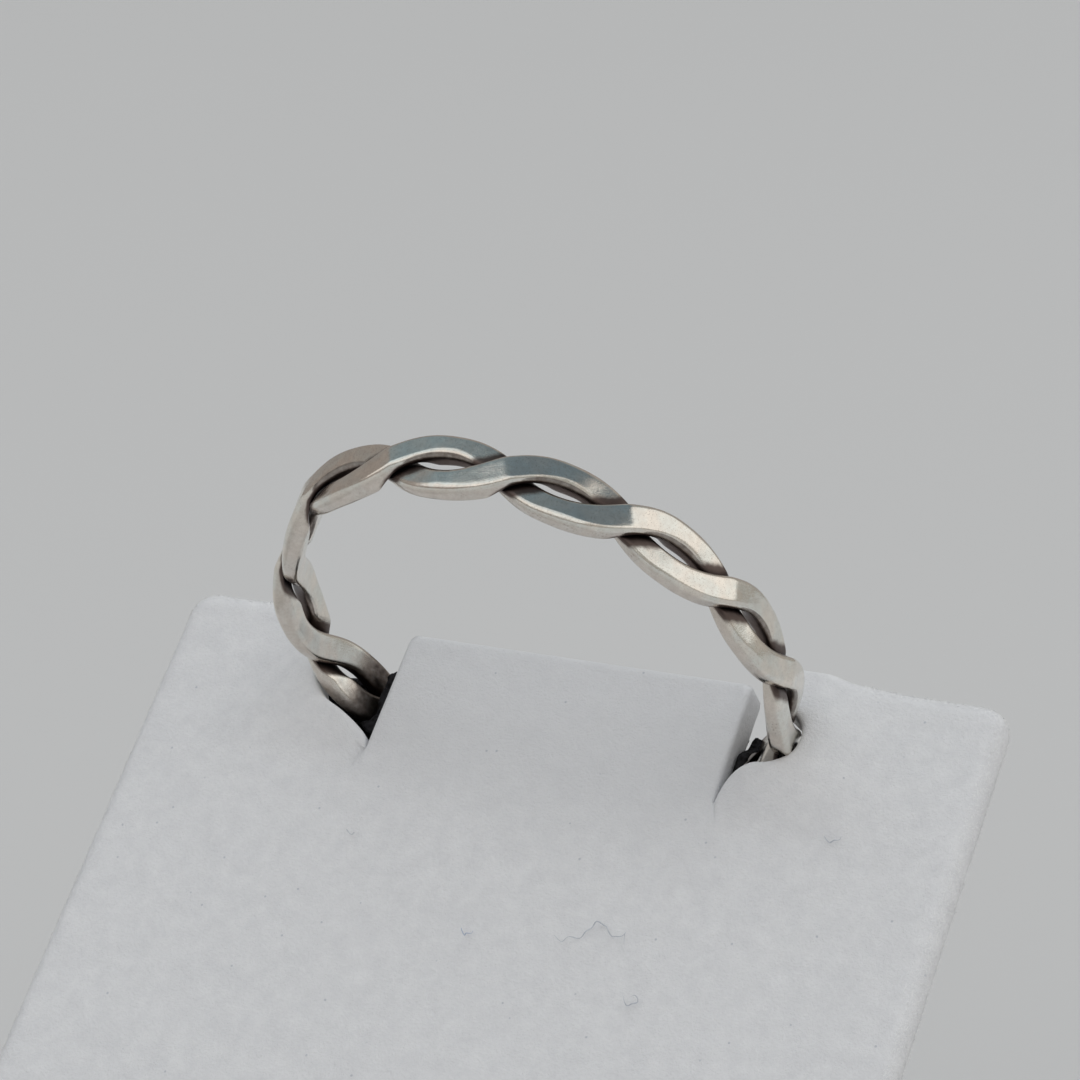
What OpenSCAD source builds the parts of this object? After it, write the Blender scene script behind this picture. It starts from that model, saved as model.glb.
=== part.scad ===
// Twisted two-wire band ring, slipped over the tongue of a small sloping display stand.
// Millimetres, +Z up. The stand's front looks along -Y, and the origin is on the surface
// that it stands on, under the middle of the whole object.

/* [Ring] */
// Outside radius of the band
ring_r = 10; // [9.6:0.1:10]
// Thickness of the band, measured from the finger outwards
band_t = 1.04; // [0.96:0.02:1.2]
// Whole turns that each wire makes on its way round
turns = 7; // [5:1:8]
// How far the middle of a wire swings to either side
swing = 0.755; // [0.7:0.005:0.8]
// Half width of a wire where it runs along the edge of the band
edge_half = 0.385; // [0.35:0.005:0.45]
// Half width of a wire where it was rolled flat on a crossing
cross_half = 0.535; // [0.45:0.005:0.6]
// Gap between the two wires where they press on each other
wire_gap = 0.08; // [0.06:0.01:0.12]
// How much lower the outer face of a wire lies where it goes under than on top of a crossing
edge_drop = 0.26; // [0.1:0.01:0.3]
// Angle of the first crossing from the top of the ring
first_crossing = -40.1; // [-51:0.1:0]

/* [Panel] */
// Slope of the panel above the surface it stands on
slope = 42.5; // [40:0.5:45]
// Width of the panel
panel_w = 32.7; // [30:0.1:36]
// Length of the panel up its slope
panel_l = 42; // [38:0.5:46]
// Thickness of the flocked board
board_t = 1.5; // [1.2:0.1:1.6]
// Radius of the panel's corners
corner_r = 1.6; // [1:0.1:3]
// Width of the tongue between the two slits
tongue_w = 13.7; // [13:0.1:13.8]
// How far the slits run down from the ridge
slit_l = 5.6; // [5.4:0.1:7]
// How far the tongue ends short of the ridge
tongue_short = 0.65; // [0.4:0.05:1]
// Width that the band opens each slit to
slit_open = 2.6; // [2.6:0.05:3]

/* [Seat] */
// Height of the ring's centre above the panel
seat_h = 4; // [3.9:0.05:4.2]
// Distance from the ridge down to the ring's centre
seat_back = 2.4; // [2.2:0.1:2.6]
// How much flatter the ring's axis lies than the panel
ring_lean = 5.8; // [4:0.1:7]
// Clearance round the band inside the bed
seat_gap = 0.2; // [0.15:0.05:0.3]

/* [Bed and strut] */
// Half width of the foam bed under the tongue
bed_half = 12.5; // [11.8:0.1:13]
// Depth of the bed under the panel
bed_d = 7; // [6.6:0.1:8]
// Length of the bed down the slope
bed_l = 8.6; // [8:0.1:12]
// Distance of the bed's upper end below the ridge
bed_start = 2; // [1.6:0.1:2.2]
// How far below the face of the panel the foam stands in the slits
swell_depth = 0.5; // [0.3:0.05:0.8]
// Thickness of the strut
strut_t = 1.9; // [1.6:0.1:2.4]
// Half width of the strut where it meets the bed
strut_top = 8; // [6:0.5:10]
// Half width of the strut at its foot
strut_foot = 5; // [4:0.5:8]
// Distance of the foot's back edge behind the ridge
strut_back = 9; // [8:0.5:12]
// Gap left between glued pieces
glue_gap = 0.05; // [0.02:0.01:0.1]

/* [Hidden] */

// wire sweep: rings along the strand, corners of its section, squareness of the section
sweep_rings = 196;
section_sides = 14;
section_power = 0.6;

// wire path: how much longer than a sine it keeps to the edge, how late it widens towards a
// crossing, how much its faces sink on the way under, and how softly one wire presses the other
edge_hold = 0.04;
widening = 3;
outer_sag = 0.07;
inner_sag = 0.13;
press_soft = 0.03;

ring_tilt = slope - ring_lean;
tongue_half = tongue_w / 2;
band_half = swing + edge_half;
band_mid = ring_r - band_t / 2;
strut_inset = 0.8;
round_facets = 96;

// side view: depth from the panel's front edge to the foot, and where the ridge lies in it
panel_run = panel_l * cos(slope);
depth = panel_run + strut_back;
ridge_y = panel_run - depth / 2;
ridge_z = panel_l * sin(slope);

// world place of a point given along the slope from the ridge and outwards from the panel
function on_panel(along, out) = [
    ridge_y + along * cos(slope) - out * sin(slope),
    ridge_z + along * sin(slope) + out * cos(slope)
];
ring_mid = on_panel(-seat_back, seat_h);

// outer and inner face and half width of a wire, from the cosine of its turn
function smooth(x) = x <= 0 ? 0 : x * x * (3 - 2 * x);
function wire_out(c) = ring_r - edge_drop * (1 - c) / 2 - outer_sag * smooth(-c);
function wire_in(c) = ring_r - band_t + inner_sag * smooth(c);
function wire_half(c) = edge_half + (cross_half - edge_half) * pow(abs(c), widening);

// how far a wire has swung, and how fast it swings
reach = swing / (1 - edge_hold);
function swung(way) = reach * (sin(way) + edge_hold * sin(3 * way));
function slant(way) = reach * turns * (cos(way) + 3 * edge_hold * cos(3 * way));

// distance from the plane that parts the wires, kept above half the gap between them
function pressed(away) =
    wire_gap / 2 + press_soft * ln(1 + exp((away - wire_gap / 2) / press_soft));

// cosine or sine pulled towards a square, which gives the flats and round shoulders
function squared(v) = sign(v) * pow(abs(v), section_power);

// one corner of a wire's section, at an angle from the ring's top; the plane that parts the
// wires turns with the twist, and each wire keeps to its own side of it
function wire_corner(beta, phase, turn) =
    let (
        way = turns * (beta - first_crossing) + phase,
        c = cos(way),
        mid_r = (wire_out(c) + wire_in(c)) / 2,
        half_t = (wire_out(c) - wire_in(c)) / 2,
        skew = atan2(slant(way), mid_r),
        side = wire_half(c) * squared(cos(turn)),
        at = beta - side * sin(skew) / mid_r * 180 / PI,
        y = swung(way) + side * cos(skew),
        z = mid_r + half_t * squared(sin(turn)) - band_mid,
        plane = turns * (at - first_crossing) + phase,
        away = y * sin(plane) + z * cos(plane),
        push = pressed(away) - away,
        r = band_mid + z + push * cos(plane)
    )
    [r * sin(at), y + push * sin(plane), r * cos(at)];

// closed tube through all sections of one wire
module wire(phase) {
    points = [
        for (i = [0 : sweep_rings - 1], j = [0 : section_sides - 1])
            wire_corner(360 * i / sweep_rings, phase, 360 * j / section_sides)
    ];
    count = sweep_rings * section_sides;
    faces = [
        for (i = [0 : sweep_rings - 1], j = [0 : section_sides - 1], half = [0, 1])
            let (
                k = (j + 1) % section_sides,
                a = i * section_sides + j,
                b = i * section_sides + k,
                c = (a + section_sides) % count,
                d = (b + section_sides) % count
            )
            half == 0 ? [a, b, d] : [a, d, c]
    ];
    polyhedron(points, faces);
}

// local frame of the ring: Y along the finger, Z to the ring's top
module in_ring_frame() {
    translate([0, ring_mid[0], ring_mid[1]])
        rotate([ring_tilt, 0, 0])
            children();
}

// local frame of the panel: Y up the slope from the ridge, Z out of the panel
module in_panel_frame() {
    translate([0, ridge_y, ridge_z])
        rotate([slope, 0, 0])
            children();
}

// draws a side view of Y and Z and gives it a width along X
module across(width) {
    rotate([90, 0, 90])
        linear_extrude(width, center = true)
            children();
}

// channel that the band runs in, open towards the back so that the ring slides in
module band_channel() {
    inner = ring_r - band_t - seat_gap;
    front = band_half + seat_gap;
    in_ring_frame()
        rotate([-90, 0, 0])
            translate([0, 0, -front])
                difference() {
                    cylinder(r = ring_r + seat_gap, h = 3 * front, $fn = round_facets);
                    translate([0, 0, -1])
                        cylinder(r = inner, h = 3 * front + 2, $fn = round_facets);
                }
}

// plan of the panel, with its two upper corners rounded
module panel_plan() {
    half = panel_w / 2;
    union() {
        translate([-half, -panel_l - 3])
            square([panel_w, panel_l + 3 - corner_r]);
        translate([corner_r - half, -corner_r - 1])
            square([panel_w - 2 * corner_r, corner_r + 1]);
        for (x = [corner_r - half, half - corner_r])
            translate([x, -corner_r])
                circle(r = corner_r, $fn = round_facets);
    }
}

// edge of the right flap from the slit's tip to past the ridge, round the front of the band
band_y = -seat_back - seat_h * tan(ring_lean);
front_y = band_y - band_half - seat_gap;
flap_x = tongue_half + slit_open;
flap_edge = [
    [tongue_half, -slit_l],
    [tongue_half + 0.16 * slit_open, (front_y - slit_l) / 2],
    [tongue_half + 0.4 * slit_open, front_y - 0.2],
    [tongue_half + 0.8 * slit_open, front_y],
    [flap_x, front_y + 0.6],
    [flap_x, 2]
];

// plan of what is cut from the panel: both slits and the gap past the tongue's end
module slit_plan() {
    last = len(flap_edge) - 1;
    polygon(concat(
        flap_edge,
        [for (i = [last : -1 : 0]) [-flap_edge[i][0], flap_edge[i][1]]],
        [[-tongue_half, -tongue_short], [tongue_half, -tongue_short]]
    ));
}

module strand_a() {
    color("#c9c5bf")
        in_ring_frame()
            wire(0);
}

module strand_b() {
    color("#bfbbb6")
        in_ring_frame()
            wire(180);
}

// flocked board with the tongue, its lower end cut flat on the surface it stands on
module stand_panel() {
    color("#d9dbdf")
        difference() {
            in_panel_frame()
                intersection() {
                    across(panel_w)
                        union() {
                            translate([-panel_l - 3, -board_t])
                                square([panel_l + 3 - board_t / 2, board_t]);
                            translate([-board_t / 2, -board_t / 2])
                                circle(d = board_t, $fn = round_facets);
                        }
                    translate([0, 0, -board_t - 1])
                        linear_extrude(board_t + 2)
                            difference() {
                                panel_plan();
                                slit_plan();
                            }
                }
            translate([-panel_w, -depth, -10])
                cube([2 * panel_w, 2 * depth, 10]);
            band_channel();
        }
}

// foam that stands up into both slits inside the band, clear of their edges and narrow tips
module slit_swell() {
    bottom = -board_t - glue_gap - bed_d / 2;
    front = flap_edge[1][1];
    half = flap_edge[3][0];
    translate([0, 0, bottom])
        linear_extrude(-swell_depth - bottom)
            intersection() {
                offset(delta = -glue_gap)
                    slit_plan();
                translate([-half, front])
                    square([2 * half, -bed_start - front]);
            }
}

// foam bed under the panel, with the channel that takes the hidden part of the band
module ring_bed() {
    color("#1d1c1e")
        difference() {
            in_panel_frame()
                union() {
                    translate([-bed_half, -bed_start - bed_l, -board_t - glue_gap - bed_d])
                        cube([2 * bed_half, bed_l, bed_d]);
                    slit_swell();
                }
            band_channel();
        }
}

// board that props the panel up from behind, narrower towards its foot
module stand_strut() {
    under = -board_t - 2 * glue_gap - bed_d;
    top_back = -bed_start - strut_inset;
    top_front = top_back - strut_t;
    foot_back = ridge_y + strut_back;
    color("#d3d5da")
        intersection() {
            across(2 * strut_top)
                polygon([
                    on_panel(top_back, under),
                    on_panel(top_front, under),
                    [foot_back - strut_t, 0],
                    [foot_back, 0]
                ]);
            rotate([90, 0, 0])
                linear_extrude(2 * depth, center = true)
                    polygon([
                        [-strut_foot, 0],
                        [strut_foot, 0],
                        [strut_top, ridge_z - bed_d],
                        [strut_top, ridge_z],
                        [-strut_top, ridge_z],
                        [-strut_top, ridge_z - bed_d]
                    ]);
        }
}

strand_a();
strand_b();
stand_panel();
ring_bed();
stand_strut();
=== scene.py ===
import math

import bpy
import numpy as np
from mathutils import Matrix, Vector, noise
from mathutils.bvhtree import BVHTree
from mathutils.geometry import delaunay_2d_cdt


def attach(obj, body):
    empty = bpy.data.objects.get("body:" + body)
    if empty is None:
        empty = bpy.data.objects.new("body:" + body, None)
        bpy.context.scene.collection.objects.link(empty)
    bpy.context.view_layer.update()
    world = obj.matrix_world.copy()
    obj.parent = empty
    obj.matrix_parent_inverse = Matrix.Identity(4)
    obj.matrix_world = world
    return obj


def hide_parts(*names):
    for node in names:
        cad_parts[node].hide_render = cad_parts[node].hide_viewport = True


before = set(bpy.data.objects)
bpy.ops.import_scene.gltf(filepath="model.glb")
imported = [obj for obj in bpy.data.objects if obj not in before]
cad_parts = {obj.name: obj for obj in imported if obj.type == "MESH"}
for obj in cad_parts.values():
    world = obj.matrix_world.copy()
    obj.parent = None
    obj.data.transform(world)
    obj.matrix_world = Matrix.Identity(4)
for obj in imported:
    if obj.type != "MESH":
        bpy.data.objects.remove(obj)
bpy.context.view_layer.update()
print("frame loaded")

mm = 0.001  # sizes below are in millimetres, the scene is in metres

# the slope that carries everything, and where the ring sits on it
seat = {
    "slope": 42.5,  # degrees, panel above the table
    "panelWidth": 32.7,
    "panelLength": 42.0,
    "footBehindRidge": 9.0,
    "ringHeight": 4.0,  # ring's centre above the panel
    "ringBack": 2.4,  # ring's centre down from the ridge
    "ringLean": 5.8,  # degrees that the ring's axis lies flatter than the panel
}
slope = math.radians(seat["slope"])
panelRun = seat["panelLength"] * math.cos(slope)
ridgeY = panelRun - (panelRun + seat["footBehindRidge"]) / 2
ridgeZ = seat["panelLength"] * math.sin(slope)
ringTilt = slope - math.radians(seat["ringLean"])


def onPanel(x, along, out):
    # along runs up the slope from the ridge, out stands square on the panel
    y = ridgeY + along * math.cos(slope) - out * math.sin(slope)
    z = ridgeZ + along * math.sin(slope) + out * math.cos(slope)
    return np.stack([x + 0 * y, y, z], axis=-1)


def fromRidge(points):
    # the way back: how far up the slope and how far out the points lie
    y, z = points[:, 1] - ridgeY, points[:, 2] - ridgeZ
    return y * math.cos(slope) + z * math.sin(slope), z * math.cos(slope) - y * math.sin(slope)


panelOut = np.array([0, -math.sin(slope), math.cos(slope)])
ringMid = onPanel(0.0, -seat["ringBack"], seat["ringHeight"])


def onRing(x, y, z):
    # y runs along the finger, z to the top of the ring
    tiltCos, tiltSin = math.cos(ringTilt), math.sin(ringTilt)
    return ringMid + np.stack([x, y * tiltCos - z * tiltSin, y * tiltSin + z * tiltCos], axis=-1)


def smooth(x):
    x = np.clip(x, 0, 1)
    return x * x * (3 - 2 * x)


def linear(hexColour):
    parts = [int(hexColour[i:i + 2], 16) / 255 for i in (1, 3, 5)]
    return [p / 12.92 if p <= 0.04045 else ((p + 0.055) / 1.055) ** 2.4 for p in parts] + [1.0]


def perMetre(size):
    return 1 / (size * mm)  # a pattern's scale from the real size of one of its grains


ends = ("From Min", "From Max")  # of the values that a Map Range node spreads out


def addNode(tree, kind, inputs=None, **settings):
    # inputs go by name or number, and each is a value or another node's output; ends takes a pair
    node = tree.nodes.new("ShaderNode" + kind)
    for name, value in settings.items():
        setattr(node, name, value)
    for name, value in (inputs or {}).items():
        if name == ends:
            for end, part in zip(ends, value):
                node.inputs[end].default_value = part
        elif isinstance(value, bpy.types.NodeSocket):
            tree.links.new(value, node.inputs[name])
        else:
            node.inputs[name].default_value = value
    return node


def newMaterial(name):
    material = bpy.data.materials.new(name)
    material.use_nodes = True
    tree = material.node_tree
    tree.nodes.clear()
    place = addNode(tree, "TexCoord").outputs["Object"]  # the row frame, in metres
    return material, tree, place


def setSurface(tree, inputs):
    shader = addNode(tree, "BsdfPrincipled", inputs)
    addNode(tree, "OutputMaterial", {"Surface": shader.outputs[0]})


def readRows(items, key, kind=float):
    # three numbers for each vertex or triangle of a mesh
    values = np.zeros(len(items) * 3, kind)
    items.foreach_get(key, values)
    return values.reshape(-1, 3)


def makePiece(name, points, faces, material, attributes=None):
    mesh = bpy.data.meshes.new(name)
    mesh.from_pydata((np.asarray(points, float) * mm).tolist(), [], [list(face) for face in faces])
    mesh.validate()
    mesh.polygons.foreach_set("use_smooth", [True] * len(mesh.polygons))
    for key, values in (attributes or {}).items():
        kind, field = ("FLOAT_VECTOR", "vector") if np.ndim(values) == 2 else ("FLOAT", "value")
        layer = mesh.attributes.new(key, kind, "POINT")
        layer.data.foreach_set(field, np.asarray(values, np.float32).ravel())
    mesh.materials.append(material)
    mesh.update()
    piece = bpy.data.objects.new(name, mesh)
    bpy.context.scene.collection.objects.link(piece)
    return piece


def setPiece(piece, nodes=()):
    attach(piece, "root")
    if nodes:
        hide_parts(*nodes)


# camera: a long macro lens from the front right, a little above
camera = {
    "azimuth": 25.69,  # degrees round from the front, towards +X
    "elevation": 15.77,
    "roll": 0.26,
    "distance": 144.8,  # from the point it looks at
    "aimFromRing": (-0.15, 0.99, 3.40),
    "lens": 136.6,
    "sensor": 36.0,
    "clip": (0.01, 30),  # metres
}


def makeCamera():
    azimuth, elevation = math.radians(camera["azimuth"]), math.radians(camera["elevation"])
    back = Vector((math.sin(azimuth) * math.cos(elevation),
                   -math.cos(azimuth) * math.cos(elevation), math.sin(elevation)))
    aim = Vector(ringMid) + Vector(camera["aimFromRing"])
    turn = (-back).to_track_quat("-Z", "Y").to_matrix().to_4x4()
    turn = turn @ Matrix.Rotation(math.radians(camera["roll"]), 4, "Z")
    data = bpy.data.cameras.new("macroCamera")
    data.lens, data.sensor_width = camera["lens"], camera["sensor"]
    data.clip_start, data.clip_end = camera["clip"]
    eye = bpy.data.objects.new("macroCamera", data)
    eye.matrix_world = Matrix.Translation((aim + back * camera["distance"]) * mm) @ turn
    bpy.context.scene.collection.objects.link(eye)
    bpy.context.scene.camera = eye


makeCamera()
print("camera made")

# sterling silver wire, rolled flat, blackened and polished back: the eye gets warm mirror flats
# with a faint satin grain, and dark grey-brown oxide left in every recess
silver = {
    "bright": "#f6efe4",
    "blued": "#edeee7",  # the polished silver has a faint blue in places
    "tarnished": "#cdc3b9",  # sides, where the wheel hardly reached
    "oxideThin": "#8d8078",
    "oxide": "#665a55",
    "oxideDeep": "#362c2c",  # where the wires press on each other
    "polishedRoughness": 0.11,
    "scratchRoughness": 0.23,
    "oxideRoughness": 0.36,
    "oxideFrom": (0.31, 0.60),  # how closed in a spot is where the oxide starts, and where it is full
    "deepFrom": (0.62, 0.98),  # the same where it deepens
    "ragSize": 0.22,  # how coarsely the oxide's edge is broken up
    "rag": 0.16,  # and how far that moves it
    "pitSpacing": 0.11,  # small pits that kept their oxide
    "pitEdge": (0.36, 0.14),  # a pit's soft edge, as shares of that spacing
    "pitShare": 0.6,
    "patchSize": 0.9,  # they lie in patches
    "patchFrom": (0.52, 0.66),
    "speckSpacing": 0.075,  # finest specks, drawn coarser than they are, to show
    "speckEdge": (0.30, 0.10),
    "speckFilm": 0.75,  # how much tarnish a speck, a soft cloud and a side have
    "cloudFilm": 0.45,
    "sideFilm": 0.55,
    "cloudSize": 0.30,  # a few grains across
    "cloudFrom": (0.35, 0.72),
    "bluedFrom": (0.4, 0.6),
    "dentSize": 0.7,  # shallow unevenness left by the rolls
    "dentDepth": 0.012,
    "scratchWidth": 0.04,  # drawn coarser than it is, to show
    "scratchSquash": 0.06,  # how much the pattern is stretched along the wire
    "scratchFrom": (0.3, 0.75),
    "scratchDepth": 0.0018,
    "grainSize": 0.05,  # satin grain left by the polishing wheel
    "grainDepth": 0.0026,
}


def makeSilver():
    material, tree, place = newMaterial("polishedOxidisedSilver")
    flow = addNode(tree, "Attribute", attribute_name="alongWire").outputs["Vector"]
    recess = addNode(tree, "Attribute", attribute_name="recess").outputs["Fac"]
    sideFace = addNode(tree, "Attribute", attribute_name="sideFace").outputs["Fac"]

    # oxide fills the recesses, its edge broken up where the wheel just reached; the same mask carries
    # painted shade where the band lies in the stand
    rag = addNode(tree, "TexNoise", {
        "Vector": place, "Scale": perMetre(silver["ragSize"]), "Detail": 4.0}).outputs["Fac"]
    reach = addNode(tree, "Math", {
        0: rag, 1: silver["rag"], 2: recess}, operation="MULTIPLY_ADD").outputs[0]
    oxide = addNode(tree, "MapRange", {
        "Value": reach, ends: silver["oxideFrom"]}, interpolation_type="SMOOTHSTEP").outputs["Result"]

    # pits on the side faces, in patches
    pits = addNode(tree, "TexVoronoi", {
        "Vector": place, "Scale": perMetre(silver["pitSpacing"])}).outputs["Distance"]
    spot = addNode(tree, "MapRange", {"Value": pits, ends: silver["pitEdge"]}).outputs["Result"]
    patch = addNode(tree, "TexNoise", {
        "Vector": place, "Scale": perMetre(silver["patchSize"])}).outputs["Fac"]
    patchy = addNode(tree, "MapRange", {
        "Value": patch, ends: silver["patchFrom"], "To Max": silver["pitShare"]}).outputs["Result"]
    inPatch = addNode(tree, "Math", {0: spot, 1: patchy}, operation="MULTIPLY").outputs[0]
    onSide = addNode(tree, "Math", {0: inPatch, 1: sideFace}, operation="MULTIPLY").outputs[0]
    dark = addNode(tree, "Math", {0: oxide, 1: onSide}, operation="MAXIMUM").outputs[0]

    # a film of tarnish on the sides, in fine specks and in soft clouds elsewhere
    specks = addNode(tree, "TexVoronoi", {
        "Vector": place, "Scale": perMetre(silver["speckSpacing"])}).outputs["Distance"]
    fleck = addNode(tree, "MapRange", {
        "Value": specks, ends: silver["speckEdge"], "To Max": silver["speckFilm"]}).outputs["Result"]
    cloud = addNode(tree, "TexNoise", {
        "Vector": place, "Scale": perMetre(silver["cloudSize"]), "Detail": 5.0,
        "Roughness": 0.7}).outputs["Fac"]
    cloudy = addNode(tree, "MapRange", {
        "Value": cloud, ends: silver["cloudFrom"], "To Max": silver["cloudFilm"]}).outputs["Result"]
    flecked = addNode(tree, "Math", {0: fleck, 1: cloudy}, operation="ADD").outputs[0]
    film = addNode(tree, "Math", {
        0: sideFace, 1: silver["sideFilm"], 2: flecked}, operation="MULTIPLY_ADD",
        use_clamp=True).outputs[0]
    tint = addNode(tree, "MapRange", {"Value": patch, ends: silver["bluedFrom"]}).outputs["Result"]
    # a Mix node's factor is input 0; colours go in at 6 and 7 and out at 2, values in at 2 and 3
    clean = addNode(tree, "Mix", {
        0: tint, 6: linear(silver["bright"]), 7: linear(silver["blued"])}, data_type="RGBA").outputs[2]
    polished = addNode(tree, "Mix", {
        0: film, 6: clean, 7: linear(silver["tarnished"])}, data_type="RGBA").outputs[2]
    thick = addNode(tree, "MapRange", {"Value": reach, ends: silver["deepFrom"]}).outputs["Result"]
    blackened = addNode(tree, "Mix", {
        0: thick, 6: linear(silver["oxide"]), 7: linear(silver["oxideDeep"])}, data_type="RGBA").outputs[2]
    tone = addNode(tree, "Mix", {
        0: oxide, 6: linear(silver["oxideThin"]), 7: blackened}, data_type="RGBA").outputs[2]
    colour = addNode(tree, "Mix", {
        0: dark, 6: polished, 7: tone}, data_type="RGBA").outputs[2]

    # scratches run with the wire, so the pattern is stretched along it
    stretched = addNode(tree, "VectorMath", {
        0: flow, 1: (silver["scratchSquash"], 1.0, 1.0)}, operation="MULTIPLY").outputs[0]
    scratches = addNode(tree, "TexNoise", {
        "Vector": stretched, "Scale": perMetre(silver["scratchWidth"]), "Detail": 3.0,
        "Roughness": 0.7}).outputs["Fac"]
    rough = addNode(tree, "MapRange", {
        "Value": scratches, ends: silver["scratchFrom"], "To Min": silver["polishedRoughness"],
        "To Max": silver["scratchRoughness"]}).outputs["Result"]
    roughness = addNode(tree, "Mix", {0: dark, 2: rough, 3: silver["oxideRoughness"]}).outputs[0]

    grain = addNode(tree, "TexNoise", {
        "Vector": place, "Scale": perMetre(silver["grainSize"])}).outputs["Fac"]
    dents = addNode(tree, "TexNoise", {
        "Vector": place, "Scale": perMetre(silver["dentSize"]), "Detail": 1.0}).outputs["Fac"]
    dented = addNode(tree, "Bump", {
        "Height": dents, "Distance": silver["dentDepth"] * mm}).outputs[0]
    scored = addNode(tree, "Bump", {
        "Height": scratches, "Distance": silver["scratchDepth"] * mm, "Normal": dented}).outputs[0]
    grained = addNode(tree, "Bump", {
        "Height": grain, "Distance": silver["grainDepth"] * mm, "Normal": scored}).outputs[0]
    setSurface(tree, {"Base Color": colour, "Metallic": 1.0, "Roughness": roughness, "Normal": grained})
    return material


# the two wires: each swings from edge to edge of the band and passes over and under the other
wires = {
    "bandRadius": 10.10,
    "bandThick": 1.02,
    "turns": 7,
    "firstCrossing": -40.3,  # degrees from the top of the ring
    "swing": 0.735,  # how far a wire's middle goes from the band's
    "squareness": 0.046,  # how much longer than a sine it keeps to the edge
    "turnOver": 3.0,  # how soon a wire counts as being at an edge
    "closer": 0.055,  # how much nearer the wires lie to each other, except at the top opening
    "topOpening": (-2.0, 15.0),  # where that is, and how far its width reaches, in degrees
    "halfWidth": (0.50, 0.535),  # along the edge and on a crossing
    "widening": 3.0,  # how late a wire widens towards a crossing
    "gap": 0.05,  # air between two wires pressed on each other
    "pressed": 0.045,  # how softly one wire was pressed flat against the other
    "edgeDrop": 0.285,  # how much lower the outer face lies before it goes under
    "dropPower": 2.0,
    "sag": 0.07,  # further drop on the way under
    "innerSag": 0.13,  # rise of the inner face on the way over
    "flatness": 0.75,  # 0 is round, 1 a polygon whose corners are the crossings
    "ridgeSoft": 0.008,
    "drift": 14.0,  # degrees that the hand-made twist runs late down the left side
    "driftFrom": (-14.0, -114.0, -224.0),  # where it starts, is full and has gone again
    "squeezed": 0.54,  # how far the left shoulder is pressed in out of round
    "squeezedAt": (-63.0, 23.0),  # where, and how far that reaches, in degrees
    "corners": ((0.29, 0.18), (0.24, 0.14)),  # radius of the outer and the inner corners, the same way
    "bulge": 0.10,  # share of its width that a side stands out at mid height
    "bulgeLoss": 0.4,  # share of that which is gone on a crossing
    "uneven": 0.022,  # hand-made variation in width
    # its waves: how many round the ring, their shift, how they follow the wire, their share
    "waves": ((3, 1.3, 1, 1.0), (8, 0.4, -1, 0.7), (17, 0.0, 0, 0.5)),
    "sections": 1120,  # round the ring
    "cornerSteps": 7,
    "flatSteps": 6,
    # the side face starts at this share of half the width, over this share more
    "sideFrom": (0.72, 0.2),
    "sideUnder": (0.75, 0.3),  # the same down from the outer face
    "recessReach": 1.5,  # how far an open view has to be for the wheel to reach
    "recessRays": 36,
    "rayClear": 0.01,  # how far off the skin a ray starts
    "oxideCreep": (0.55, 0.8),  # how far oxide runs along a wire, on its outer side and at the opening
    "creepLoss": (0.6, 0.10),  # what it loses on that way, and at each step round the section
    "openingShare": 0.42,  # oxide kept on the sides that face an opening
    "openingFrom": (0.4, 0.22),  # how far a side has to face it, and over what more that grows
    "paintedShadeInStand": {"left": (105.0, 119.0), "right": (114.0, 128.0)},  # degrees from the top where the painted shade starts and where it is full
    "paintedShadeShare": 0.45,  # how much painted shade, in oxide colours, the wires get there
}


def sectionTemplate():
    # every section has these points: (share of width, share of height, corner x, corner z)
    steps, flats = wires["cornerSteps"], wires["flatSteps"]
    points = []
    for signX, signZ, start in ((1, 1, 0), (-1, 1, 90), (-1, -1, 180), (1, -1, 270)):
        for i in range(steps + 1):
            turn = math.radians(start + 90 * i / steps)
            points.append((signX, signZ, math.cos(turn), math.sin(turn)))
        for i in range(1, flats):
            share = 1 - 2 * i / flats
            if start in (0, 180):
                points.append((signZ * share, signZ, 0, signZ))
            else:
                points.append((signX, -signX * share, signX, 0))
    return np.array(points).T


# the place of each section round the ring
beta = np.linspace(0, 2 * math.pi, wires["sections"], endpoint=False)[:, None]


def twist(place):
    # the turn angle of the twist there
    start, full, end = (math.radians(a) for a in wires["driftFrom"])
    left = (place - start) % (2 * math.pi) - 2 * math.pi + start
    late = smooth((start - left) / (start - full)) * (1 - smooth((full - left) / (full - end)))
    return wires["turns"] * (place - np.radians(wires["firstCrossing"] - wires["drift"] * late))


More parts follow.
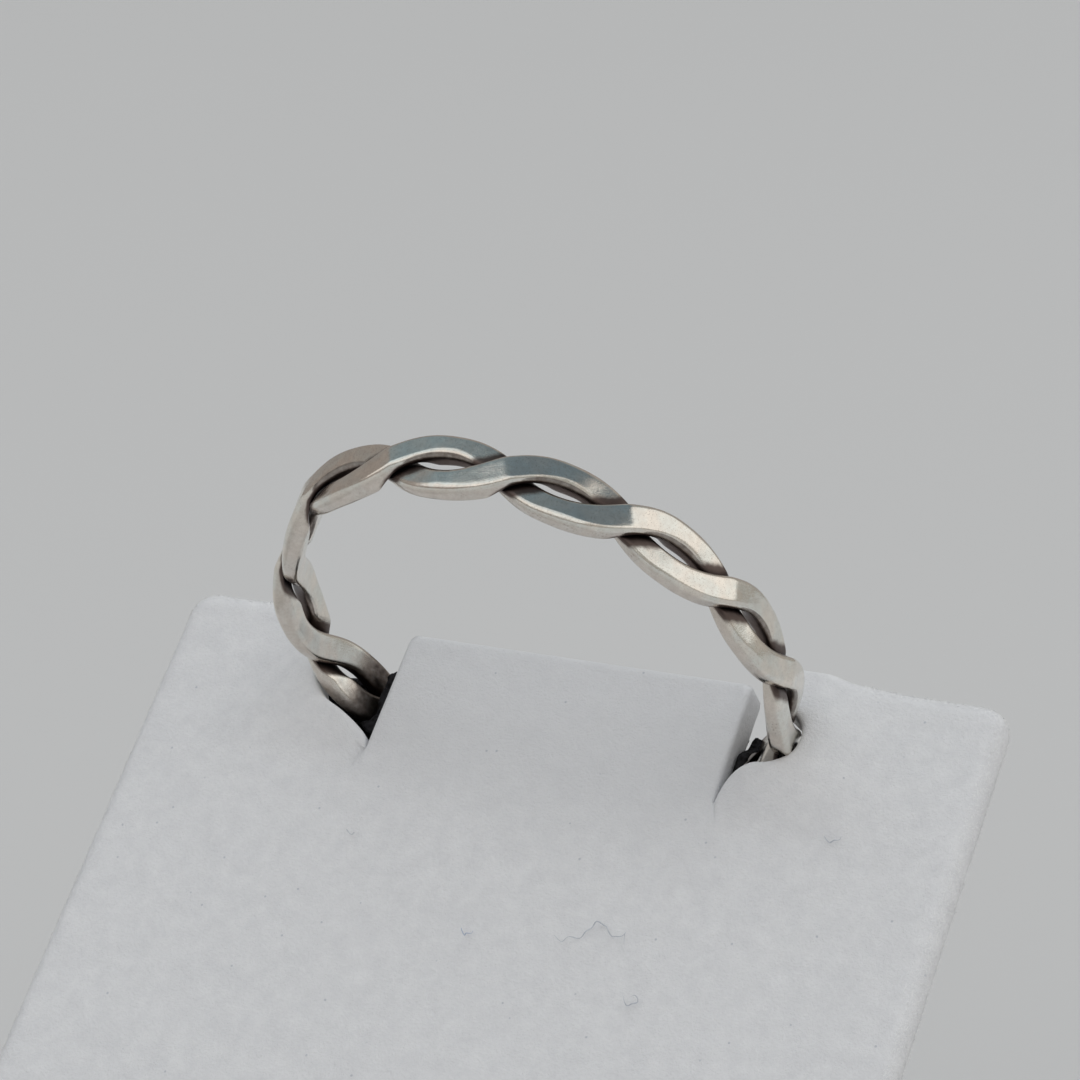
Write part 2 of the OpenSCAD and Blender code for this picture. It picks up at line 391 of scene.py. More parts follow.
def wirePoints(phase):
    way = twist(beta) + phase
    c, s = np.cos(way), np.sin(way)
    thick, outside = wires["bandThick"], wires["bandRadius"]
    # between two crossings the outer face is flatter than a circle, so it bends at the crossings
    bend = np.abs((way + math.pi / 2) % math.pi - math.pi / 2) / wires["turns"]
    bend = np.sqrt(bend ** 2 + wires["ridgeSoft"] ** 2) - wires["ridgeSoft"]
    flattened = wires["flatness"] * outside * bend * (math.pi / wires["turns"] - bend) / 2
    top = outside - flattened - wires["edgeDrop"] * ((1 - c) / 2) ** wires["dropPower"]
    top = top - wires["sag"] * smooth(-c)
    bottom = outside - thick + wires["innerSag"] * smooth(c)
    shoulder, over = wires["squeezedAt"]
    aside = (np.degrees(beta) - shoulder + 180) % 360 - 180
    pressedIn = wires["squeezed"] * np.exp(-(aside / over) ** 2)
    midR, halfT = (top + bottom) / 2, (top - bottom) / 2
    opening, over = (math.radians(a) for a in wires["topOpening"])
    aside = (beta - opening + math.pi) % (2 * math.pi) - math.pi
    closer = wires["closer"] * (1 - np.exp(-(aside / over) ** 2))
    edge, crossing = wires["halfWidth"]
    halfW = edge + (crossing - edge) * np.abs(c) ** wires["widening"]
    wobble = sum(share * np.sin(many * beta + shift + follows * phase)
                 for many, shift, follows, share in wires["waves"])
    halfW = halfW * (1 + wires["uneven"] * wobble)
    square = wires["squareness"]
    swing = (wires["swing"] - closer) / (1 - square)
    swung = swing * (s + square * np.sin(3 * way))
    slant = swing * (c + 3 * square * np.cos(3 * way))
    skew = np.arctan2(slant * wires["turns"], midR)
    flat = smooth(np.abs(c))  # 0 along the edge, 1 on a crossing
    widthShare, heightShare, cornerX, cornerZ = (row[None, :] for row in sectionTemplate())
    outer, inner = (edge + (crossing - edge) * flat for edge, crossing in wires["corners"])
    radius = np.where(heightShare > 0, outer, inner)
    lift = heightShare * (halfT - radius) + cornerZ * radius
    side = widthShare * (halfW - radius) + cornerX * radius
    side = side * (1 - wires["bulge"] * (1 - wires["bulgeLoss"] * flat) * (lift / halfT) ** 2)
    at = beta - side * np.sin(skew) / midR
    # a plane through the middle of the band turns with the twist, and each wire keeps to its side of it
    y, z = swung + side * np.cos(skew), midR + lift - (outside - thick / 2)
    turned = twist(at) + phase
    away = y * np.sin(turned) + z * np.cos(turned)
    soft = wires["pressed"]
    push = wires["gap"] / 2 + soft * np.logaddexp(0, (away - wires["gap"] / 2) / soft) - away
    y, z = y + push * np.sin(turned), z + push * np.cos(turned)
    r = outside - thick / 2 + z - pressedIn
    points = onRing(r * np.sin(at), y, r * np.cos(at))
    along = np.broadcast_to(beta * outside, side.shape)
    flow = np.stack([along, side + lift, lift - side], axis=-1) * mm
    start, width = wires["sideFrom"]
    sideness = smooth((np.abs(side / halfW) - start) / width)
    start, width = wires["sideUnder"]
    sideness = sideness * smooth((start - lift / halfT) / width)
    return points, flow, sideness


def loopFaces(count, around):
    i, j = np.meshgrid(np.arange(count), np.arange(around), indexing="ij")
    nextI, nextJ = (i + 1) % count, (j + 1) % around
    corners = [i * around + j, i * around + nextJ, nextI * around + nextJ, nextI * around + j]
    return np.stack(corners, axis=-1).reshape(-1, 4)


def recessTable(points, around, tree):
    # how little of the open air each point of one turn of the twist sees
    count = wires["sections"] // wires["turns"]
    rays = []
    for i in range(wires["recessRays"]):  # evenly spread over a half sphere
        height = 1 - (i + 0.5) / wires["recessRays"]
        angle = i * math.pi * (3 - math.sqrt(5))
        spread = math.sqrt(1 - height * height)
        rays.append(Vector((spread * math.cos(angle), spread * math.sin(angle), height)))
    flat = points.reshape(-1, 3)
    alongWire = np.roll(points, -1, axis=0) - np.roll(points, 1, axis=0)
    roundWire = np.roll(points, -1, axis=1) - np.roll(points, 1, axis=1)
    normals = np.cross(alongWire, roundWire).reshape(-1, 3)
    centre = np.repeat(points.mean(axis=1), around, axis=0)
    normals *= np.sign(np.sum(normals * (flat - centre), axis=1))[:, None]
    normals /= np.linalg.norm(normals, axis=1)[:, None]
    values = np.zeros(count * around)
    for k in range(count * around):
        normal = Vector(normals[k])
        turn = normal.to_track_quat("Z", "Y")
        start = Vector(flat[k]) + normal * wires["rayClear"]
        blocked = 0.0
        for ray in rays:
            hit = tree.ray_cast(start, turn @ ray, wires["recessReach"])
            if hit[0] is not None:
                blocked += ray.z
        values[k] = blocked
    values /= sum(ray.z for ray in rays)
    return values.reshape(count, around)


def creep(table, way):
    # oxide runs out along the wire from where it is pressed in, furthest on the side of the opening
    stepLength = 2 * math.pi * wires["bandRadius"] / wires["sections"]
    towardsOpening = 0.5 - 0.5 * sectionTemplate()[0][None, :] * np.tanh(np.sin(way) * wires["turnOver"])
    near, far = wires["oxideCreep"]
    alongLoss, roundLoss = wires["creepLoss"]
    reach = near + (far - near) * towardsOpening
    spread = table.copy()
    for away in range(1, int(far / stepLength) + 1):
        fade = alongLoss * away * stepLength / reach
        beyond = np.maximum(np.roll(table, away, axis=0), np.roll(table, -away, axis=0))
        spread = np.maximum(spread, beyond - fade)
    for _ in range(2):
        beside = np.maximum(np.roll(spread, 1, axis=1), np.roll(spread, -1, axis=1))
        spread = np.maximum(spread, beside - roundLoss)
    for _ in range(3):
        spread = (np.roll(spread, 1, axis=0) + spread * 2 + np.roll(spread, -1, axis=0)) / 4
    return spread


# real oxide in the recesses, plus painted shade where the band lies in the stand
def oxideAndShadeMask(phase, points, around, tree):
    # one turn's table, laid out again wherever the twist is at the same angle
    way = twist(beta) + phase
    table = recessTable(points, around, tree)
    table = creep(table, way[:len(table)])
    place = ((way - way[0]) % (2 * math.pi)).ravel() / (2 * math.pi) * len(table)
    low = place.astype(int)
    share = (place - low)[:, None]
    spread = table[low % len(table)] * (1 - share) + table[(low + 1) % len(table)] * share
    # the wheel hardly reached the sides that face an opening
    facing = np.clip(-sectionTemplate()[2][None, :] * np.tanh(np.sin(way) * wires["turnOver"]), 0, 1)
    start, width = wires["openingFrom"]
    spread = np.maximum(spread, wires["openingShare"] * smooth((facing - start) / width))
    # painted shade: where the band goes down into the stand the wires get oxide colours, standing in for
    # its shadow
    for side, fromTop in (("right", np.degrees(beta)), ("left", 360 - np.degrees(beta))):
        start, full = wires["paintedShadeInStand"][side]
        inside = smooth((fromTop - start) / (full - start)) * (fromTop <= 180)
        spread = np.maximum(spread, wires["paintedShadeShare"] * inside)
    return spread


def makeWires(material):
    built = [wirePoints(phase) for phase in (0.0, math.pi)]
    around = built[0][0].shape[1]
    faces = loopFaces(wires["sections"], around)
    every = np.concatenate([points.reshape(-1, 3) for points, _, _ in built])
    bothFaces = np.concatenate([faces, faces + len(every) // 2])
    tree = BVHTree.FromPolygons(every.tolist(), bothFaces.tolist())
    for letter, phase, (points, flow, sideness) in zip("ab", (0.0, math.pi), built):
        recess = oxideAndShadeMask(phase, points, around, tree).ravel()
        piece = makePiece("silver_wire_" + letter, points.reshape(-1, 3), faces, material, {
            "recess": recess, "alongWire": flow.reshape(-1, 3), "sideFace": sideness.ravel()})
        setPiece(piece, ["strand_" + letter])


makeWires(makeSilver())
print("silver wires made")

# nylon flock on card, fibres shot into glue: the eye gets a matt, faintly mottled suede
# with a pale bloom where the edges turn away
flock = {
    "pale": "#ebecee",
    "deep": "#dfe0e3",
    "rubbed": "#d8d9dc",  # painted shade: the tongue greyer, standing in for less light falling there
    "mottle": 0.7,  # size of the soft patches where the nap lies another way
    "tuft": 0.13,  # a few fibres standing together
    "tuftShare": 0.6,  # how much they count beside the patches
    "patchFrom": (0.5, 1.1),  # where the two together count as deep and as pale
    "tuftDepth": 0.05,
    "fibre": 0.05,  # one fibre, drawn coarser than it is, to show
    "fibreDepth": 0.015,
    "speck": "#8e97a8",
    "speckSpacing": 0.9,
    "speckSize": 0.045,
    "speckSoft": 0.3,  # share of its size over which its edge fades
    "speckShare": 0.4,
}


def makeFlock():
    material, tree, place = newMaterial("nylonFlockOnCard")
    mottle, tuft = (addNode(tree, "TexNoise", {
        "Vector": place, "Scale": perMetre(flock[size]), "Detail": 3.0,
        "Roughness": roughness}).outputs["Fac"] for size, roughness in (("mottle", 0.6), ("tuft", 0.7)))
    fibre = addNode(tree, "TexNoise", {
        "Vector": place, "Scale": perMetre(flock["fibre"]), "Detail": 1.0}).outputs["Fac"]
    both = addNode(tree, "Math", {
        0: tuft, 1: flock["tuftShare"], 2: mottle}, operation="MULTIPLY_ADD").outputs[0]
    patchy = addNode(tree, "MapRange", {"Value": both, ends: flock["patchFrom"]}).outputs["Result"]
    ground = addNode(tree, "Mix", {
        0: patchy, 6: linear(flock["deep"]), 7: linear(flock["pale"])}, data_type="RGBA").outputs[2]
    # painted shade: the tongue's flock is mixed towards a greyer tone
    rubbed = addNode(tree, "Attribute", attribute_name="rubbed").outputs["Fac"]
    groundWithShade = addNode(tree, "Mix", {
        0: rubbed, 6: ground, 7: linear(flock["rubbed"])}, data_type="RGBA").outputs[2]
    specks = addNode(tree, "TexVoronoi", {
        "Vector": place, "Scale": perMetre(flock["speckSpacing"])}).outputs["Distance"]
    size, soft = flock["speckSize"] / flock["speckSpacing"], flock["speckSoft"]
    isSpeck = addNode(tree, "MapRange", {
        "Value": specks, ends: (size * (1 + soft), size * (1 - soft)),
        "To Max": flock["speckShare"]}).outputs["Result"]
    colour = addNode(tree, "Mix", {
        0: isSpeck, 6: groundWithShade, 7: linear(flock["speck"])}, data_type="RGBA").outputs[2]
    tufted = addNode(tree, "Bump", {
        "Height": tuft, "Distance": flock["tuftDepth"] * mm, "Strength": 0.8}).outputs[0]
    fibred = addNode(tree, "Bump", {
        "Height": fibre, "Distance": flock["fibreDepth"] * mm, "Normal": tufted,
        "Strength": 0.8}).outputs[0]
    setSurface(tree, {
        "Base Color": colour, "Roughness": 0.95, "Specular IOR Level": 0.15, "Sheen Weight": 0.35,
        "Sheen Roughness": 0.45, "Normal": fibred})
    return material


# the sloping board: slits leave a tongue, and the flaps beside it are pushed up by the band
panel = {
    "thick": 1.5,
    "cornerRadius": 1.0,
    "tongueHalf": 6.85,
    "tongueShort": 0.65,
    "tongueCorner": 0.15,
    "slitLength": 5.6,
    # each flap's edge from the slit's tip to the ridge, as distance from the middle and from the ridge
    "flapEdgeRight": [(6.9, -5.65), (7.0, -5.0), (7.3, -4.4), (7.9, -4.08), (8.7, -3.9), (9.3, -3.5),
                      (9.5, -2.9), (9.4, -2.4), (9.1, -2.05), (8.75, -1.8), (8.35, -1.5), (8.0, -1.1),
                      (7.9, -0.6)],
    "flapEdgeLeft": [(6.9, -5.65), (7.05, -5.15), (7.5, -4.8), (8.2, -4.45), (9.0, -4.05), (9.5, -3.4),
                     (9.7, -2.6), (10.1, -1.8), (10.6, -1.1), (10.9, -0.5)],
    "flapCorner": 0.5,
    "curveSteps": 12,  # between two of those points
    "outerRound": 0.7,  # rounding of the outer edges
    "cutRound": 0.22,  # rounding of the cut edges beside the slits
    "cutReach": (10.6, -6.6),
    "lift": 0.7,  # how far the band has pushed the flaps up
    "liftOutside": (9.5, 2.0),  # from where it fades out sideways, and over what width
    "liftBeside": (0.2, 1.6),  # where it starts inside the tongue's side, and over what width
    "liftBelow": (1.2, 2.6),  # the same below the slit's tip
    "ridgeSink": (0.35, 1.8),  # share of the lift lost at the ridge, and over what length
    "outlineStep": 0.2,
    "edgeRings": 6,
    "ringKeeps": 0.97,  # a ring's point stays if it keeps this share of its distance from the outline
    "gridStep": 0.34,
    "rowShare": 0.866,  # rows lie closer than columns, so that the triangles are even
    "gridClear": 0.4,  # share of a step that the grid keeps from those rings
    "sameSpot": 1e-5,
    "onEdge": 1e-4,
    "footCut": 4.0,  # how far up the foot its level cut can reach
    "nap": 0.02,  # unevenness of the flocked surface
    "napWaves": 1.6,  # waves a millimetre
    "napSlice": 7.0,
    # how much painted shade the tongue gets, how far down that fades out, and how far to the sides
    "rubbed": 0.6,
    "tongueShadeDown": (-4.0, -10.0),
    "tongueShadeAside": (6.0, 9.5),
}


def arc(centre, radius, start, end, step):
    count = max(3, int(abs(end - start) * radius / step))
    turns = np.linspace(start, end, count)
    return [(centre[0] + radius * math.cos(t), centre[1] + radius * math.sin(t)) for t in turns]


def softCurve(points, steps):
    # a smooth curve through the points
    p = np.array([points[0], *points, points[-1]], float)
    t = np.linspace(0, 1, steps, endpoint=False)[:, None]
    out = []
    for a, b, c, d in zip(p, p[1:], p[2:], p[3:]):
        out.extend(0.5 * (2 * b + (c - a) * t + (2 * a - 5 * b + 4 * c - d) * t ** 2
                          + (3 * b - a - 3 * c + d) * t ** 3))
    return [tuple(q) for q in out] + [tuple(p[-1])]


def evenly(points, step):
    # the closed outline again, with its points a step apart
    p = np.array([*points, points[0]])
    lengths = np.linalg.norm(np.diff(p, axis=0), axis=1)
    run = np.concatenate([[0], np.cumsum(lengths)])
    places = np.linspace(0, run[-1], int(run[-1] / step), endpoint=False)
    return np.stack([np.interp(places, run, p[:, 0]), np.interp(places, run, p[:, 1])], axis=1)


def panelOutline():
    # the right half from the bottom to the tongue's end, then the left half mirrored and turned round
    half, corner = seat["panelWidth"] / 2, panel["cornerRadius"]
    tongue, short, soft = panel["tongueHalf"], panel["tongueShort"], panel["tongueCorner"]
    turned, step = panel["flapCorner"], panel["outlineStep"]
    sides = []
    for flapEdge in (panel["flapEdgeRight"], panel["flapEdgeLeft"]):
        flapX = flapEdge[-1][0]
        side = [(half, -seat["panelLength"])]
        side += arc((half - corner, -corner), corner, 0, math.pi / 2, step)
        side += arc((flapX + turned, -turned), turned, math.pi / 2, math.pi, step)
        side += softCurve(flapEdge, panel["curveSteps"])[::-1][1:]
        side += arc((tongue - soft, -short - soft), soft, 0, math.pi / 2, step / 2)
        sides.append(side)
    return evenly(sides[0] + [(-x, y) for x, y in sides[1][::-1]], step)


def edgeDistance(points, outline):
    a, b = outline, np.roll(outline, -1, axis=0)
    best = np.zeros(len(points))
    block = 2000  # points at a time, to save memory
    for start in range(0, len(points), block):
        p = points[start:start + block, None, :]
        along = np.clip(np.sum((p - a) * (b - a), axis=2) / np.sum((b - a) ** 2, axis=1), 0, 1)
        gap = np.linalg.norm(p - a - along[:, :, None] * (b - a), axis=2)
        best[start:start + block] = gap.min(axis=1)
    return best


def makePanel(material):
    outline = panelOutline()
    radius, rings = panel["thick"] / 2, panel["edgeRings"]
    ahead = np.roll(outline, -1, axis=0)
    run = ahead - np.roll(outline, 1, axis=0)
    inward = np.stack([-run[:, 1], run[:, 0]], axis=1)  # the outline runs anticlockwise
    inward /= np.linalg.norm(inward, axis=1)[:, None]
    points = [outline]
    for i in range(1, rings + 1):
        reach = radius * (1 - math.cos(math.pi / 2 * i / rings))
        ring = outline + inward * reach
        points.append(ring[edgeDistance(ring, outline) > reach * panel["ringKeeps"]])
    step = panel["gridStep"]
    half, length = seat["panelWidth"] / 2, seat["panelLength"]
    xs, ys = np.meshgrid(np.arange(-half, half, step), np.arange(-length, 0, step * panel["rowShare"]))
    xs[1::2] += step / 2
    grid = np.stack([xs.ravel(), ys.ravel()], axis=1)
    inside = np.zeros(len(grid), bool)
    for (x1, y1), (x2, y2) in zip(outline, ahead):
        crosses = (grid[:, 1] < y1) != (grid[:, 1] < y2)
        if y1 != y2:
            inside ^= crosses & (grid[:, 0] < (x2 - x1) * (grid[:, 1] - y1) / (y2 - y1) + x1)
    grid = grid[inside]
    points.append(grid[edgeDistance(grid, outline) > radius + step * panel["gridClear"]])
    flat = np.concatenate(points)
    count = len(outline)
    loop = [(i, (i + 1) % count) for i in range(count)]
    plan = delaunay_2d_cdt([Vector(p) for p in flat], loop, [list(range(count))], 1, panel["sameSpot"])
    spots = np.array([tuple(v) for v in plan[0]])
    triangles = np.array([list(t) for t in plan[2]])
    gap = edgeDistance(spots, outline)
    lift = panelLift(spots[:, 0], spots[:, 1])
    waves, layer = panel["napWaves"], panel["napSlice"]
    uneven = np.array([noise.noise(Vector((x * waves, y * waves, layer))) for x, y in spots])
    uneven = panel["nap"] * uneven * (gap >= panel["onEdge"])
    rounding = edgeRounding(spots[:, 0], spots[:, 1])
    drop = rounding - np.sqrt(rounding ** 2 - np.clip(rounding - gap, 0, rounding) ** 2)
    sheets = [lift - drop + uneven, lift - panel["thick"] + drop - uneven]
    # the lower end is cut level with the table
    cut = np.clip((-length + panel["footCut"] - spots[:, 1]) / panel["footCut"], 0, 1)
    every = np.concatenate([
        onPanel(spots[:, 0], spots[:, 1] + np.clip(-out, 0, None) * cut / math.tan(slope), out)
        for out in sheets])
    rim = np.zeros(count, int)
    for spot, sources in enumerate(plan[3]):
        for source in sources:
            if source < count:
                rim[source] = spot
    nextRim = np.roll(rim, -1)
    wall = np.stack([rim, rim + len(spots), nextRim + len(spots), nextRim], axis=1)
    faces = [*triangles.tolist(), *(triangles[:, ::-1] + len(spots)).tolist(), *wall.tolist()]
    # painted shade: greyer on the tongue, fading out downwards and to the sides
    start, end = panel["tongueShadeDown"]
    near, far = panel["tongueShadeAside"]
    rubbed = panel["rubbed"] * smooth((spots[:, 1] - end) / (start - end))
    rubbed = rubbed * smooth((far - np.abs(spots[:, 0])) / (far - near))
    piece = makePiece("flocked_panel", every, faces, material, {"rubbed": np.tile(rubbed, 2)})
    setPiece(piece, ["stand_panel"])
    return piece


def edgeRounding(x, y):
    # the outer edges are soft, the slits were cut
    width, start = panel["cutReach"]
    cut = smooth(width - np.abs(x)) * smooth(y - start)
    return panel["outerRound"] + (panel["cutRound"] - panel["outerRound"]) * cut


def panelLift(x, y):
    # the flaps rise towards the band and fade out below the slit's tip
    start, width = panel["liftOutside"]
    near = np.exp(-(np.clip(np.abs(x) - start, 0, None) / width) ** 2)
    start, width = panel["liftBeside"]
    beside = smooth((np.abs(x) - panel["tongueHalf"] + start) / width)
    start, width = panel["liftBelow"]
    below = smooth((y + panel["slitLength"] + start) / width)
    lost, length = panel["ridgeSink"]
    return panel["lift"] * near * beside * below * (1 - lost * smooth((y + length) / length))


# flock fibres brushed almost flat on the board's edges: the eye gets a soft, slightly fuzzy rim, its
# brightness a painted highlight, as the fibres are paler than the board's flock
nap = {
    # painted highlight: both fibre tones are paler than the board's flock, for a bright rim
    "pale": "#fbfcfc",
    "deep": "#eff0f2",
    "count": 16000,
    "length": (0.07, 0.18),
    "width": 0.018,  # drawn coarser than it is, to show
    "taper": 0.8,  # share of its width half way along
    "stands": (8.0, 38.0),  # degrees up from the board
    "bend": 0.1,
    "softFrom": 0.9,  # it grows where the rounding is at least this share of the full one
    "facing": (-0.5, 0.93),  # and from the edge's back round to its front
    "seed": 7,
}


def makeFibreMaterial():
    material, tree, _ = newMaterial("nylonFlockFibrePaintedBright")
    shade = addNode(tree, "Attribute", attribute_name="fibreShade").outputs["Fac"]
    colour = addNode(tree, "Mix", {
        0: shade, 6: linear(nap["deep"]), 7: linear(nap["pale"])}, data_type="RGBA").outputs[2]
    setSurface(tree, {
        "Base Color": colour, "Roughness": 0.85, "Specular IOR Level": 0.2, "Sheen Weight": 0.3})
    return material


def makeFibres(roots, outward, material, random):
    # each fibre is a tapering ribbon: two corners at its root, two half way and one at its tip
    count = len(roots)
    lying = np.cross(outward, random.normal(0, 1, (count, 3)))
    lying /= np.linalg.norm(lying, axis=1)[:, None]
    stands = np.radians(random.uniform(*nap["stands"], count))[:, None]
    towards = lying * np.cos(stands) + outward * np.sin(stands)
    bend = random.normal(0, nap["bend"], (count, 3))
    # every ribbon lies with its front away from the board
    across = np.cross(lying, outward) * nap["width"] / 2
    size = random.uniform(*nap["length"], count)[:, None]
    middle, narrow = roots + towards * size * 0.5, across * nap["taper"]
    tip = roots + (towards + bend) * size
    points = np.stack([roots - across, roots + across, middle + narrow, middle - narrow, tip], axis=1)
    corners = points.shape[1]
    start = np.arange(count)[:, None] * corners
    quads = (start + [0, 1, 2, 3]).tolist()
    tips = (start + [3, 2, 4]).tolist()
    shade = np.repeat(random.uniform(0, 1, count), corners)
    piece = makePiece("flock_edge_nap", points.reshape(-1, 3), quads + tips, material,
                      {"fibreShade": shade})
    # so fine a fibre is lit like the board that it lies on
    piece.data.normals_split_custom_set_from_vertices(np.repeat(outward, corners, axis=0).tolist())
    setPiece(piece)


def makeNap(board):
    # fibres on the rounded outer edges; the cut edges beside the slits have none
    random = np.random.default_rng(nap["seed"])
    mesh = board.data
    mesh.calc_loop_triangles()
    spots = readRows(mesh.vertices, "co") / mm
    corners = readRows(mesh.loop_triangles, "vertices", int)
    a, b, c = (spots[corners[:, k]] for k in range(3))
    normals = np.cross(b - a, c - a)
    area = np.linalg.norm(normals, axis=1)
    normals /= np.maximum(area, 1e-9)[:, None]  # never by zero
    facing = normals @ panelOut
    middle = (a + b + c) / 3
    along, _ = fromRidge(middle)
    soft = edgeRounding(middle[:, 0], along) > nap["softFrom"] * panel["outerRound"]
    back, front = nap["facing"]
    weights = area * soft * (facing > back) * (facing < front)
    chosen = random.choice(len(area), nap["count"], p=weights / weights.sum())
    u, v = random.uniform(0, 1, (2, nap["count"], 1))
    u, v = np.where(u + v > 1, 1 - u, u), np.where(u + v > 1, 1 - v, v)
    roots = a[chosen] * (1 - u - v) + b[chosen] * u + c[chosen] * v
    makeFibres(roots, normals[chosen], makeFibreMaterial(), random)


flockMaterial = makeFlock()
makeNap(makePanel(flockMaterial))
print("panel made")

# cotton lint that fell on the board: the eye gets a few fine grey and blue threads
lint = {
    "grey": "#9aa3b3",
    "blue": "#6f8fc0",
    "worn": 0.3,  # size of the patches that took up the flock's white
    "thick": 0.045,  # drawn coarser than it is, to show
    "sides": 6,
    "steps": 6,  # between two points of a thread
    "tip": 0.25,  # how blunt its ends are
    "above": 0.2,  # it lies on the tips of the flock
    "curl": (0.08, 0.7),  # how far it rises and sinks, and the turn of that at each step
    # threads as points on the panel: across and up from the ridge
    "threads": {
        "long": [(3.03, -11.75), (3.31, -11.9), (3.63, -11.72), (4.05, -11.6), (4.22, -11.21),
                 (4.44, -10.97), (4.78, -11.07), (5.03, -11.34), (5.35, -11.4), (5.54, -11.16),
                 (5.6, -11.55)],
        "loop": [(6.3, -13.5), (6.45, -13.8), (6.75, -13.75), (6.8, -13.5), (6.55, -13.42)],
        "blue": [(-0.45, -12.1), (-0.3, -12.3), (-0.15, -12.28), (0.0, -12.12)],
        "short": [(-6.2, -9.1), (-6.0, -9.22), (-5.8, -9.2)],
        "edge": [(11.4, -6.3), (11.6, -6.45), (11.85, -6.4), (12.0, -6.2)],
    },
}


def makeLint(name, spots, tone):
    path = np.array(softCurve(spots, lint["steps"]))
    curl, turn = lint["curl"]
    rise = lint["above"] + curl * np.sin(np.arange(len(path)) * turn)
    centre = onPanel(path[:, 0], path[:, 1], panelLift(path[:, 0], path[:, 1]) + rise)
    along = np.gradient(centre, axis=0)
    along /= np.linalg.norm(along, axis=1)[:, None]
    across = np.cross(along, panelOut)
    across /= np.linalg.norm(across, axis=1)[:, None]
    up = np.cross(across, along)
    sides, tip = lint["sides"], lint["tip"]
    turns = np.arange(sides) * 2 * math.pi / sides
    thin = lint["thick"] / 2 * np.sin(np.linspace(tip, math.pi - tip, len(path)))[:, None, None]
    rings = centre[:, None] + thin * (np.cos(turns)[None, :, None] * across[:, None]
                                      + np.sin(turns)[None, :, None] * up[:, None])
    faces = []
    for start in range(0, (len(path) - 1) * sides, sides):
        for j in range(sides):
            here, following = start + j, start + (j + 1) % sides
            faces.append([here, following, following + sides, here + sides])
    faces.append(list(range(sides))[::-1])
    faces.append([(len(path) - 1) * sides + j for j in range(sides)])
    material, tree, place = newMaterial("cottonLint" + name.capitalize())
    worn = addNode(tree, "TexNoise", {"Vector": place, "Scale": perMetre(lint["worn"])}).outputs["Fac"]
    colour = addNode(tree, "Mix", {
        0: worn, 6: linear(tone), 7: linear(flock["pale"])}, data_type="RGBA").outputs[2]
    setSurface(tree, {"Base Color": colour, "Roughness": 0.9})
    setPiece(makePiece("lint_" + name, rings.reshape(-1, 3), faces, material))


for name, spots in lint["threads"].items():
    makeLint(name, spots, lint["blue"] if name == "blue" else lint["grey"])
print("lint laid")


# bed and strut take their shapes from the frame, with softened edges and their own surface
def rework(node, name, look, material, shape=None):
    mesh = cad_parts[node].data.copy()
    mesh.transform(Matrix.Scale(1 / mm, 4))
    piece = bpy.data.objects.new(name, mesh)
    bpy.context.scene.collection.objects.link(piece)
    remesh = piece.modifiers.new("even", "REMESH")
    remesh.mode, remesh.voxel_size = "VOXEL", look["voxel"]
    soften = piece.modifiers.new("soften", "SMOOTH")
    soften.factor, soften.iterations = 0.5, look["rounds"]
    solid = bpy.data.meshes.new_from_object(piece.evaluated_get(bpy.context.evaluated_depsgraph_get()))
    bpy.data.objects.remove(piece)
    spots, normals = (readRows(solid.vertices, key) for key in ("co", "normal"))
    fromMiddle = np.array([noise.voronoi(Vector(p / look["cellSize"]))[0][0] for p in spots])
    wall, slant = 0.55, 0.45  # where a cell's hollow ends, and over what share of its size it sinks
    hollow = smooth((wall - fromMiddle) / slant)
    spots = spots - normals * (look["cellDepth"] * hollow)[:, None]
    spots[:, 2] = np.maximum(spots[:, 2], 0)
    if shape:
        spots = shape(spots)
    faces = [list(p.vertices) for p in solid.polygons]
    setPiece(makePiece(name, spots, faces, material), [node])


# black polyurethane foam, cut from a block: the eye gets near-black open cells with no shine
foam = {
    "wall": "#242326",
    # painted shade: the colour of the pores' hollow middles
    "poreShade": "#0b0b0c",
    "voxel": 0.2,
    "rounds": 4,
    "cellSize": 0.45,  # the open cells, which the mesh has
    "cellDepth": 0.12,
    "poreSize": 0.225,  # the fine pores that only the material draws
    "poreEdge": (0.15, 0.6),
    "poreDepth": 0.08,
    "sinks": (-3.3, -2.4),  # where the foam in the right slit starts to lie lower and is lowest
    "sinkShare": 0.93,
}

# card with the board's flock on it, which makes its surface slightly uneven
strut = {"voxel": 0.22, "rounds": 14, "cellSize": 0.6, "cellDepth": 0.02}


def makeFoam():
    material, tree, place = newMaterial("cutBlackFoam")
    pores = addNode(tree, "TexVoronoi", {
        "Vector": place, "Scale": perMetre(foam["poreSize"])}).outputs["Distance"]
    depth = addNode(tree, "MapRange", {"Value": pores, ends: foam["poreEdge"]}).outputs["Result"]
    # painted shade: the colour darkens towards each pore's hollow middle
    colour = addNode(tree, "Mix", {
        0: depth, 6: linear(foam["poreShade"]), 7: linear(foam["wall"])}, data_type="RGBA").outputs[2]
    bump = addNode(tree, "Bump", {
        "Height": depth, "Distance": foam["poreDepth"] * mm, "Strength": 0.9}).outputs[0]
    setSurface(tree, {"Base Color": colour, "Roughness": 0.9, "Specular IOR Level": 0.25, "Normal": bump})
    return material


def sinkFoam(spots):
    # towards the ridge the foam in the right slit lies lower, so that the tongue's cut edge shows
    along, above = fromRidge(spots)
    start, full = foam["sinks"]
    sunk = smooth((along - start) / (full - start)) * (spots[:, 0] > 0)
    drop = foam["sinkShare"] * sunk * np.clip(above + panel["thick"], 0, None)
    return spots - drop[:, None] * panelOut


rework("ring_bed", "foam_bed", foam, makeFoam(), sinkFoam)
rework("stand_strut", "flocked_strut", strut, flockMaterial)
print("bed and strut made")

# floor: matt photographic paper, which gives the eye an even pale ground
floor = {"tone": "#d4d4d4", "grain": 0.25, "grainDepth": 0.01, "radius": 6000, "rings": 24, "spokes": 96}


